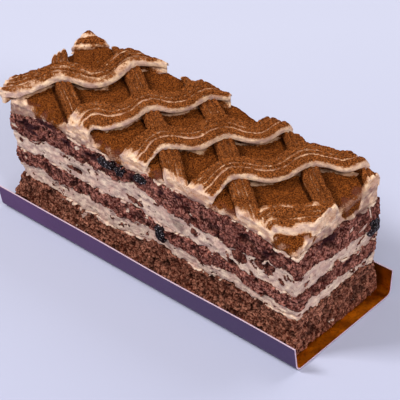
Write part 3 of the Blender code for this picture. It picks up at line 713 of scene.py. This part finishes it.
def even_route(points, spacing=1):
    """The curve through a route's points, at even distances along it."""
    fine = curve_through(points, 16)
    length = np.r_[0, np.cumsum(np.linalg.norm(np.diff(fine, axis=0), axis=1))]
    places = np.linspace(0, length[-1], round(length[-1] / spacing) + 1)
    return np.column_stack([np.interp(places, length, side) for side in fine.T])


def heading(path, reach):
    """Direction of a path at each of its points, from the points that lie reach steps before and after."""
    step = np.arange(len(path))
    ahead = path[np.minimum(step + reach, len(path) - 1)] - path[np.maximum(step - reach, 0)]
    return ahead / np.linalg.norm(ahead, axis=1)[:, None]


def beside(x, y, route):
    """How far each place lies from the nearest point of a route, more than 0 to its right and less to its left."""
    path = even_route(route)
    ahead = heading(path, 3)
    right = np.empty(x.size)
    for part in np.array_split(np.arange(x.size), 24):
        gap_x, gap_y = (places.ravel()[part, None] - side for places, side in ((x, path[:, 0]), (y, path[:, 1])))
        nearest = np.argmin(gap_x ** 2 + gap_y ** 2, axis=1)
        row = np.arange(len(part))
        gap_x, gap_y = gap_x[row, nearest], gap_y[row, nearest]
        right[part] = np.sign(gap_x * ahead[nearest, 1] - gap_y * ahead[nearest, 0]) * np.hypot(gap_x, gap_y)
    return right.reshape(x.shape)


def top_numbers(points, outward, top_z):
    """Cocoa cover, juice and painted shade on the top cream, and its relief: full on top, ragged over the edges."""
    x, y, z = points.T
    ragged = drag(points, 2, 71)
    below = top_z - z
    rim = np.minimum(y - TOP_NEAR, TOP_RIGHT - x)
    inward = np.minimum(rim, np.minimum(TOP_FAR - y, x - eased(LEFT_FACE, z)))
    on_edge = (("near", x, np.abs(y - TOP_NEAR)), ("end", y, np.abs(x - TOP_RIGHT)))
    hangs = 0.9 + 1.3 * lumps(points, 9, 76) + ragged
    hanging = np.zeros_like(x)
    for line, place, gate in on_edge:
        for middle, half, reach in DUST_HANGING[line]:
            share = smooth(2 - 2 * np.abs(place - middle) / half) * (gate < 2)
            hangs, hanging = hangs + reach * share, np.maximum(hanging, share)
    cover = 0.55 + 0.8 * (hangs - below) + 0.2 * np.clip(inward, 0, 3)
    for line, place, gate in on_edge:
        for middle, half, reach in CREAM_PULLED[line]:
            pulled = (1 - np.abs(place - middle) / half) * reach - gate + 0.9 * ragged
            cover = np.minimum(cover, 1 - 1.4 * np.clip(pulled, 0, 2))
    reach = OVERHANG - 0.4 + 2.2 * lumps(points, 5, 75) + ragged
    for route in OVER_ROUTES[1:5]:
        right = beside(x, y, route)
        bare = smooth((reach - right) / 1.3) * (right > 0) * (below < 0.5)
        cover = np.where(bare > 0, np.minimum(cover, 1) * (1 - 0.8 * bare), cover)
    # Painted shade: a dark line along each under ribbon's right foot, and a band half as dark on the floor beside its
    # left side.
    painted_ribbon_shade = np.zeros_like(x)
    for route in UNDER_ROUTES:
        right = beside(x, y, route)
        painted_ribbon_shade = np.maximum(painted_ribbon_shade, smooth(1.3 - np.abs(right - UNDER_EDGE) / 0.6))
        painted_ribbon_shade = np.maximum(painted_ribbon_shade, 0.5 * smooth((right + UNDER_EDGE + 5.3) / 4) * (right < 0))
    juice = cut_face_numbers(points, outward, z - 9, z + 9, False)[1]
    smears = smooth((drag(points, 2.6, 77) - 0.02) / 0.3) * (below > 0.7)
    stain = smooth((3 - rim + 1.8 * lumps(points, 3, 78)) / 1.8) * smooth((lumps(points, 2, 79) + 0.3) / 0.5)
    juice = np.maximum(np.maximum(juice, 0.9 * smears), 0.8 * stain)
    bared = smooth((1.5 - rim + 1.3 * lumps(points, 2.4, 80)) / 1.2) * (below < 2) * (1 - 0.65 * hanging)
    cover = np.clip(cover, 0, 1.2) - 0.3 * stain - 0.75 * bared
    dusty = smooth(cover * 1.5 - 0.3)
    grit = noise(points, (0.26, 0.65, 72), (0.14, 1.3, 73), (0.16, 5, 74))
    return {"cover": cover, "juice": juice, "painted_ribbon_shade": painted_ribbon_shade}, dusty * grit + (1 - dusty) * cream_relief(points)


def top_skin():
    """Closed skin of the top cream: rows up the cut face, a rolled edge, and a grid over the top."""
    share_x, share_y, sides = cut_stations()
    near, far, left, right = sides
    count = len(share_x)
    x, y, _ = cut_place("cream_top", share_x, share_y, np.full(count, TOP_FACE_HEIGHT), 0)
    z_low, z_high = boundary("sponge_top_top", x, y) + BOUNDARY_GAP, boundary("floor", x, y)
    turn = np.linspace(0, math.pi / 2, TOP_EDGE_ROWS + 1)
    insets = np.r_[TUCK, TUCK * 0.5, LAYER_EDGE, np.zeros(TOP_FACE_ROWS), TOP_EDGE * (1 - np.cos(turn))]
    share = np.linspace(0, 1, TOP_FACE_ROWS + 1)[:-1, None]
    z = np.vstack([np.broadcast_to(z_low, (3, count)),
                   z_low + LAYER_EDGE + (z_high - TOP_EDGE - z_low - LAYER_EDGE) * share,
                   z_high - TOP_EDGE * (1 - np.sin(turn))[:, None]])
    x, y, outward = cut_place("cream_top", share_x, share_y, z, insets[:, None])
    z[-1] = boundary("floor", x[-1], y[-1])
    rise = np.r_[np.zeros(3 + TOP_FACE_ROWS), np.sin(turn)][:, None, None]
    facing = outward * (1 - rise) + np.array((0, 0, 1)) * rise
    inner = np.meshgrid(share_x[near[1:-1]], share_y[right], indexing="ij")
    grid_x, grid_y, _ = cut_place("cream_top", *inner, np.full_like(inner[0], TOP_HEIGHT), TOP_EDGE)
    grid = np.stack([grid_x, grid_y, boundary("floor", grid_x, grid_y)], -1).reshape(-1, 3)
    points = np.vstack([np.stack([x, y, z], -1).reshape(-1, 3), grid])
    facing = np.vstack([facing.reshape(-1, 3), np.broadcast_to((0, 0, 1), grid.shape)])
    top_z = np.r_[np.tile(z_high, len(insets)), grid[:, 2]]
    numbers, relief = top_numbers(points, np.vstack([outward.reshape(-1, 3), np.zeros_like(grid)]), top_z)
    outer = np.clip(1 - insets / RELIEF_REACH, 0, 1)
    outer[-TOP_EDGE_ROWS - 1:] = 1
    points += facing * (relief * np.r_[np.repeat(outer, count), np.ones(len(grid))])[:, None]

    last = (len(insets) - 1) * count
    index = np.empty((len(near), len(right) + 2), int)
    index[1:-1, 1:-1] = last + count + np.arange(len(grid)).reshape(inner[0].shape)
    index[:, 0], index[:, -1] = last + near, last + far
    index[0, 1:-1], index[-1, 1:-1] = last + left[::-1], last + right
    faces = ring_faces(np.arange(len(insets)) * count, count).tolist() + close_across(sides, 0, -1)
    faces += np.stack([index[:-1, :-1], index[1:, :-1], index[1:, 1:], index[:-1, 1:]], -1).reshape(-1, 4).tolist()
    return points, faces, numbers


def cocoa_finish(name, light, dark, clot_and_shade_colour):
    """Cocoa dusted on cream: the mesh's cover says how much, and grains break its edge."""
    material, wire = new_finish(name, Specular_IOR_Level=0.06)
    grit, coarse = wire.grain(0.45, 4), wire.grain(1.4, 3, shift=0.4)
    dots = wire.node("TexVoronoi", {}, {"Vector": wire.place(), "Scale": 1 / (DOT_SIZE * MM)})
    cocoa = wire.blend(grit.edge(0.5, 0.2), dark, light)
    cocoa = wire.blend(coarse.edge(0.5, 0.4) * 0.4, cocoa, dark)
    cocoa = wire.blend(dots.edge(0.64, 0.2) * 0.5, cocoa, clot_and_shade_colour)
    # Painted shade beside the under ribbons' feet, in the colour of the cocoa's clots.
    cocoa = wire.blend(wire.attribute("painted_ribbon_shade") * 0.8, cocoa, clot_and_shade_colour)
    dust = wire.attribute("cover") + 1.1 * (grit - 0.5)
    tone = wire.blend(dust.edge(0.2, 0.8) * 0.8, cream_tone(wire, PIPED_CREAM), THIN_DUST)
    tone = wire.blend(wire.grain(0.6, shift=2.1).edge(0.68, 0.05) * 0.7, tone, FLECK)
    cover = dust.edge(0.5, 0.3)
    tone = wire.blend(cover, tone, cocoa)
    tone = wire.blend(wire.attribute("juice") * (0.4 + 0.6 * coarse), tone, JUICE_ON_CREAM)
    wire.feed(Base_Color=tone, Roughness=0.56 + 0.38 * cover,
              Normal=wire.bump((grit - 0.7 * dots) * (0.15 + cover), 0.7))
    return material


floor_cocoa = cocoa_finish("cocoa_floor", (168, 92, 36), (84, 37, 8), (40, 14, 1))
points, faces, numbers = top_skin()
top = put_mesh("dusted_cream_top", points, faces, [floor_cocoa], numbers)
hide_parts("cream_top")

# ------------------------------
# Under ribbons. Five ropes of cream piped slantwise over the top with a flat
# notched nozzle, then dusted all over. The knife cut them flush with the slice.
# Section: (mm to the right of the route, height, share of dust). Near a cut it turns into its filled form.
UNDER_SECTION = np.array((
    (-3.1, -1.6, 1), (-3.5, 0.9, 1), (-3.2, 2.1, 1), (-2.4, 3, 1), (-1.6, 2.9, 0.9), (-1, 2.3, 0.75), (-0.2, 3.1, 1),
    (0.5, 3, 0.95), (1.1, 2.3, 0.75), (1.9, 2.9, 1), (2.8, 2.4, 0.95), (3.5, 1.3, 0.9), (3.3, 0.6, 0.8),
    (2.5, 0.2, 0.8), (2.4, -1.6, 0.8)))
UNDER_FILLED = np.vstack([UNDER_SECTION[:-3], (3.7, 0.4, 0.8), (3.6, -0.6, 0.8), (3.4, -1.6, 0.8)])
UNDER_LEFT = -3.6  # a ribbon's left side; its width is a share of the section's
# Each ribbon's width, and what differs from the others in how it was piped.
UNDER_PIPING = dict(pale=(1, 4), combed=(0.2, 0), mottle=0.3, low=0.2)
UNDER_RIBBONS = ((0.8, dict(pale=(1, 6.5), combed=(0.34, 0), low=0.1)), (0.9, {}), (0.92, {}),
                 (0.84, dict(pale=(1, 3))), (0.8, dict(pale=(1.5, 2.5))))
FILL_REACH = 2.6  # from a cut, where the hollow under a ribbon's side closes
RIBBON_STEP = 0.32
SECTION_STEPS = 6  # points between two of the section's
FRAME_REACH = 7
COMB = 1.15  # from tooth to tooth of the nozzle, whose fine lines show through the dust
COMB_REACH = 7  # from a ribbon's start, where they show more
PALE_SLANT = 0.6  # a long pale start or end is this share shorter on one side
LONG_START, LONG_END = 2, 5
CROSSING_RISE = 0.9
CROSSING_REACH = 6.5
NEAR_EDGE_PRESS = 0.72  # height that the knife left at the near cut, and how far in it pressed
PRESS_REACH = 10
TAPER_REACH = 16
LOW_REACH = 8
CUT_LEFT, CUT_RIGHT, CUT_NEAR, CUT_FAR = -64, 61.8, -17, 22.2
TIP_OVERHANG = (2.2, 1.4)  # the knife dragged one ribbon past the left end and past the near side
FAR_TIP_FROM = 1.5  # before the far cut, where a dragged tip begins to sink
CAP_RINGS = 5


def left_cut(y):
    """x of the left cut: it leans out to the tip that the knife dragged."""
    return CUT_LEFT - TIP_OVERHANG[0] * smooth((4 - y) / 20)


def near_cut(x):
    """y of the near cut, which leans out to the same tip."""
    return CUT_NEAR - TIP_OVERHANG[1] * smooth((-54 - x) / 8)


def room(x, y, far):
    """Distance from a place to the nearest of the four cuts, less than 0 past one."""
    return np.minimum(np.minimum(x - left_cut(y), CUT_RIGHT - x), np.minimum(y - near_cut(x), far - y))


def kept_places(inside):
    """Where each column of distances to the cuts first and last passes 0, in rows, read between two rows."""
    starts, ends = [], []
    for line in inside.T:
        kept = np.flatnonzero(line >= 0)
        a, b = (kept[0], kept[-1]) if len(kept) else (np.argmax(line),) * 2
        starts.append(a - line[a] / (line[a] - line[a - 1]) if a > 0 and len(kept) else a)
        ends.append(b + line[b] / (line[b] - line[b + 1]) if b < len(line) - 1 and len(kept) else b)
    return np.array(starts, float), np.array(ends, float)


def ribbon_skin(route, seed, sections, pale, combed, mottle, low, tip=0.7, arch=0, taper=0, crossed=()):
    """A piped ribbon: section lines carried along its route, each kept between the four cuts.

    Line j runs through c(s) - n(s) * across_j, with n from the places 7 mm
    before and after, at floor + height_j * press(y) + rise * height_j / crest.
    Past the far cut, where the knife dragged a tip, it sinks by 0.25 * past^1.5.
    pale: mm of bare cream at its start and end. combed: how much the nozzle's
    lines show, and how much more at its start. mottle: how patchy the dust is.
    low, taper: how much lower and narrower it starts. tip: how far it passes
    the far cut. arch: how much its ends sink. crossed: routes that it rises over.
    """
    outline, filled = (curve_through(section, SECTION_STEPS, closed=True) for section in sections)
    across, height, dust = outline.T
    path = even_route(route, RIBBON_STEP)
    step = np.arange(len(path))
    leftward = heading(path, round(FRAME_REACH / RIBBON_STEP))[:, ::-1] * (-1, 1)
    slim = 1 - taper * smooth(1.25 - step * RIBBON_STEP / TAPER_REACH)
    spots = path[:, None] - leftward[:, None] * (slim[:, None] * across)[..., None]
    lines = len(outline)
    i = np.arange(lines)
    jag = lumps(np.column_stack([i * 0.9, i * 0 + seed * 5, i * 0]), 2.4, 86)
    far = CUT_FAR + tip * (0.6 + 0.5 * jag) * np.maximum(height, 0) / height.max()
    starts, ends = kept_places(room(spots[..., 0], spots[..., 1], far))
    count = max(8, round(float(np.max(ends - starts))))
    t = np.linspace(0, 1, count + 1)[:, None]
    places = starts + (ends - starts) * t
    left_x, left_y = (np.interp(places, step, side) for side in leftward.T)
    x, y = (np.column_stack([np.interp(places[:, k], step, spots[:, k, axis]) for k in i]) for axis in (0, 1))
    fill = smooth(1.25 - room(x, y, far) / FILL_REACH)
    change = (filled - outline).T
    x, y = x - left_x * change[0] * fill, y - left_y * change[0] * fill
    y = np.clip(y, near_cut(x), far)
    x = np.clip(x, left_cut(y), CUT_RIGHT)
    past = np.maximum(y - CUT_FAR + FAR_TIP_FROM, 0)
    gone = t * count * RIBBON_STEP
    height = (height + change[1] * fill) * (1 - arch * (2 * t - 1) ** 2) * (1 - 0.45 * smooth(past / 4))
    height = height * (1 - low * smooth(1 - gone / LOW_REACH))
    apart = np.min([np.abs(beside(x, y, line)) for line in crossed], axis=0) if len(crossed) else CROSSING_REACH
    rise = CROSSING_RISE * np.cos(np.minimum(apart / CROSSING_REACH, 1) * math.pi / 2)
    press = np.sin(np.clip((y - CUT_NEAR) / PRESS_REACH, 0, 1) * math.pi / 2)
    press = np.where(height > 0, NEAR_EDGE_PRESS + (1 - NEAR_EDGE_PRESS) * press, 1)
    z = boundary("floor", x, y) + height * press + rise * np.maximum(height, 0) / height.max() - 0.25 * past ** 1.5
    points = np.stack([x, y, z], -1)

    facing = np.cross(np.roll(points, -1, 1) - np.roll(points, 1, 1), np.gradient(points, axis=0))
    facing /= np.maximum(np.linalg.norm(facing, axis=-1, keepdims=True), 1e-9)
    to_cut = room(x, y, far)
    ragged = drag(points, 1.5, 80 + seed)
    streak = lumps(np.stack(np.broadcast_arrays(gone, across * 6 + seed * 9, 0 * y), -1), 5, 85)
    bare_start = pale[0] * (1 - PALE_SLANT * smooth((across + 1.5) / 2) * (pale[0] > LONG_START))
    bare_end = pale[1] * (1 - PALE_SLANT * smooth((0.5 - across) / 1.5) * (pale[1] > LONG_END))
    smear = np.maximum(1 - gone / bare_start, 1 - (count * RIBBON_STEP - gone) / bare_end)
    smear = smooth(smear * 1.6 + 0.5 * ragged + 0.2 * streak)
    teeth = smooth((np.cos(2 * math.pi * across / COMB + 0.5 * np.sin(gone / 7)) - 0.35) / 0.6) * (dust > 0.6)
    teeth = teeth * (combed[0] + combed[1] * smooth(1 - gone / COMB_REACH)) * (0.8 + 0.7 * streak)
    cover = (dust + mottle * ragged + noise(points, (0.12, 6, 81)) - teeth - 0.6 * np.clip(1 - to_cut / 0.8, 0, 1)
             - smear * (0.8 + 0.55 * lumps(points, 1.5, 88)))
    grit = smooth(cover) * noise(points, (0.26, 0.62, 82), (0.13, 1.2, 83)) + 0.1 * lumps(points, 2.8, 84)
    points = points + facing * (grit * smooth(to_cut / 0.8))[..., None]

    faces = ring_faces(np.arange(count + 1) * lines, lines).tolist()
    points, cover = points.reshape(-1, 3), cover.ravel()
    for first, flip in ((0, -1), (count * lines, 1)):
        rim, base = points[first:first + lines], len(points)
        shrink = (1 - np.arange(1, CAP_RINGS) / CAP_RINGS)[:, None, None]
        rings = (rim.mean(0) + (rim - rim.mean(0)) * shrink).reshape(-1, 3)
        points = np.vstack([points, rings, rim.mean(0)])
        cover = np.r_[cover, 0.12 + 0.4 * drag(rings, 1.2, 90), 0.1]
        inward = base + np.arange(CAP_RINGS - 1) * lines
        faces += ring_faces([first, *inward], lines)[:, ::flip].tolist()
        fan = np.stack([inward[-1] + i, inward[-1] + (i + 1) % lines, np.full(lines, len(points) - 1)], -1)
        faces += fan[:, ::flip].tolist()
    none = np.zeros(len(points))
    return points, faces, {"cover": cover, "juice": none, "painted_ribbon_shade": none}


ribbon_cocoa = cocoa_finish("cocoa_ribbons", (190, 110, 54), (92, 44, 15), (48, 20, 5))
for number, (route, (width, own)) in enumerate(zip(UNDER_ROUTES, UNDER_RIBBONS), 1):
    sections = [section * (width, 1, 1) + (UNDER_LEFT * (1 - width), 0, 0)
                for section in (UNDER_SECTION, UNDER_FILLED)]
    points, faces, numbers = ribbon_skin(route, number, sections, **UNDER_PIPING | own)
    ribbon = put_mesh(f"piped_under_{number}", points, faces, [ribbon_cocoa], numbers)
    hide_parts(f"ribbon_under_{number}")

# ------------------------------
# Over ribbons. Six wavy ropes piped across the under ribbons with the notched
# nozzle held low, so that each has ridges on top and a bare overhanging side.
# The last three points, on the undercut foot below the bare side, are dusted partly for cocoa that fell there and
# partly as painted shade under the overhang.
OVER_SECTION = np.array((
    (-5.2, -1.6, 1), (-6, 0.2, 1), (-6.5, 1.5, 1), (-6.3, 2.9, 1), (-5.5, 4, 1), (-4.4, 3.5, 0.8), (-3.3, 4.4, 1),
    (-2.4, 4.5, 1), (-1.9, 4, 0.5), (-1.4, 4.3, 0.9), (-0.7, 4.3, 0.95), (-0.2, 3.6, 0.28), (0.3, 3.9, 0.75),
    (1.2, 4.5, 1), (2.2, 4.7, 1), (3.1, 4.3, 0.9), (3.6, 3.6, 0.1), (3.75, 2.9, -0.4), (3.5, 2.2, -0.3),
    (2.2, 1.8, 0.5), (0.6, 0.8, 0.75), (0.3, -1.6, 0.75)))
OVER_SECTIONS = OVER_SECTION, np.vstack([
    OVER_SECTION[:-4], (3.9, 1.8, -0.2), (4, 0.7, 0), (3.9, -0.4, 0.3), (3.6, -1.6, 0.3)])
# The second one's camera side was wiped bare.
WIPED_SECTIONS = [section - np.outer(section[:, 0] > 1, (0, 0, 0.45)) for section in OVER_SECTIONS]
# The last one was pressed flat by the knife: its side is low and cocoa lies at its foot.
LOW_SECTION = (
    (-5.2, -1.6, 1), (-6, 0.2, 1), (-6.3, 1.5, 1), (-5.6, 2.8, 1), (-4.4, 2.5, 0.7), (-3.3, 3.2, 1), (-2.4, 3.2, 1),
    (-1.9, 2.8, 0.6), (-1.3, 3.1, 0.9), (-0.7, 3.1, 0.9), (-0.2, 2.6, 0.45), (0.4, 2.9, 0.8), (1.4, 3.2, 0.95),
    (2.2, 3.1, 0.5), (2.9, 2.5, -0.5), (3.2, 1.7, -0.6), (3.3, 1, 0.1), (3.6, 0.4, 0.9), (3.8, -0.4, 1), (3.4, -1.6, 1))
# The first one is a short dome in the far corner, whose ridges step down to the floor.
CORNER_SECTION = (
    (-5.2, -1.6, 1), (-5.7, 0.4, 1), (-5.6, 1.8, 1), (-5, 3.4, 0.9), (-4, 4.6, 1), (-3, 5.1, 1), (-2.2, 4.7, 0.45),
    (-1.3, 5, 0.9), (-0.3, 4.8, 1), (0.5, 4, 0.4), (1.2, 3.9, 0.8), (2.2, 3.5, 1), (2.8, 2.5, 0.7), (3, 1.9, 0.4),
    (3.7, 1.4, 0.25), (3.9, 0.6, 0.4), (3.7, -0.4, 0.6), (3.4, -1.6, 0.5))
OVER_PIPING = dict(sections=OVER_SECTIONS, combed=(0.08, 0.16), mottle=0.36, low=0.35)
OVER_RIBBONS = (
    dict(sections=(CORNER_SECTION, CORNER_SECTION), pale=(1, 1), combed=(0.4, 0), mottle=0.9, low=0, arch=0.2),
    dict(sections=WIPED_SECTIONS, pale=(2.4, 2), combed=(0.4, 0), mottle=0.6, low=0, tip=2.8, taper=0.6),
    dict(pale=(4.8, 1)), dict(pale=(3.2, 1)), dict(pale=(2.8, 1.2)),
    dict(sections=(LOW_SECTION, LOW_SECTION), pale=(2.6, 1), mottle=0.6))
for number, (route, own) in enumerate(zip(OVER_ROUTES, OVER_RIBBONS), 1):
    points, faces, numbers = ribbon_skin(route, 20 + number, crossed=UNDER_ROUTES, **OVER_PIPING | own)
    ribbon = put_mesh(f"piped_over_{number}", points, faces, [ribbon_cocoa], numbers)
    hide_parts(f"ribbon_over_{number}")

# ------------------------------
# Floor, light and camera. A pale lavender paper sweep under soft studio light,
# and the camera where the photograph was taken from.
FLOOR_HALF, FLOOR_HEIGHT = 4, -0.0002  # metres
corners = [(x * FLOOR_HALF, y * FLOOR_HALF, FLOOR_HEIGHT) for x, y in ((-1, -1), (1, -1), (1, 1), (-1, 1))]
floor_mesh = bpy.data.meshes.new("paper_floor")
floor_mesh.from_pydata(corners, [], [(0, 1, 2, 3)])
floor = bpy.data.objects.new("paper_floor", floor_mesh)
bpy.context.scene.collection.objects.link(floor)
paper, wire = new_finish("pale_paper", Roughness=0.9, Specular_IOR_Level=0.1)
# Painted light: the paper is painted darker near the camera and lighter away from it, as the light falls off.
away = wire.along(0) * -0.714 + wire.along(1) * 0.7  # away from the camera
wire.feed(Base_Color=wire.blend(away.edge(0, 0.28), (181, 184, 209), (197, 200, 222)))
floor_mesh.materials.append(paper)

world = bpy.data.worlds.new("studio")
world.use_nodes = True
world.node_tree.nodes["Background"].inputs["Color"].default_value = (1, 0.985, 0.97, 1)
world.node_tree.nodes["Background"].inputs["Strength"].default_value = 0.22
bpy.context.scene.world = world

# Square softboxes that face the middle of the slice: place and size in metres, watts, colour.
for name, place, size, power, colour in (
        ("softbox_left", (-1.15, -1.05, 1.7), 0.6, 37.5, (1, 0.985, 0.965)),
        ("softbox_right", (1.7, -0.35, 1.3), 0.6, 21.5, (1, 0.985, 0.965)),
        ("softbox_back", (0.2, 1.4, 1.4), 1, 12, (1, 0.99, 0.98)),
        ("softbox_front", (0.95, -1.15, 1.5), 0.9, 8, (1, 0.985, 0.965))):
    light = bpy.data.lights.new(name, "AREA")
    light.shape, light.size, light.energy, light.color = "SQUARE", size, power, colour
    lamp = bpy.data.objects.new(name, light)
    bpy.context.scene.collection.objects.link(lamp)
    lamp.rotation_euler = (Vector((0, 0, 0.02)) - Vector(place)).to_track_quat("-Z", "Y").to_euler()
    lamp.location = place

camera_data = bpy.data.cameras.new("photo_camera")
camera_data.lens = 130.85
camera_data.sensor_width = 36
camera = bpy.data.objects.new("photo_camera", camera_data)
bpy.context.scene.collection.objects.link(camera)
camera.matrix_world = Matrix(((0.736282, -0.371947, 0.565283, 0.272301),
                              (0.675135, 0.460116, -0.576616, -0.270397),
                              (-0.045625, 0.806194, 0.589889, 0.299839),
                              (0, 0, 0, 1)))
bpy.context.scene.camera = camera
bpy.context.scene.view_settings.view_transform = "Standard"
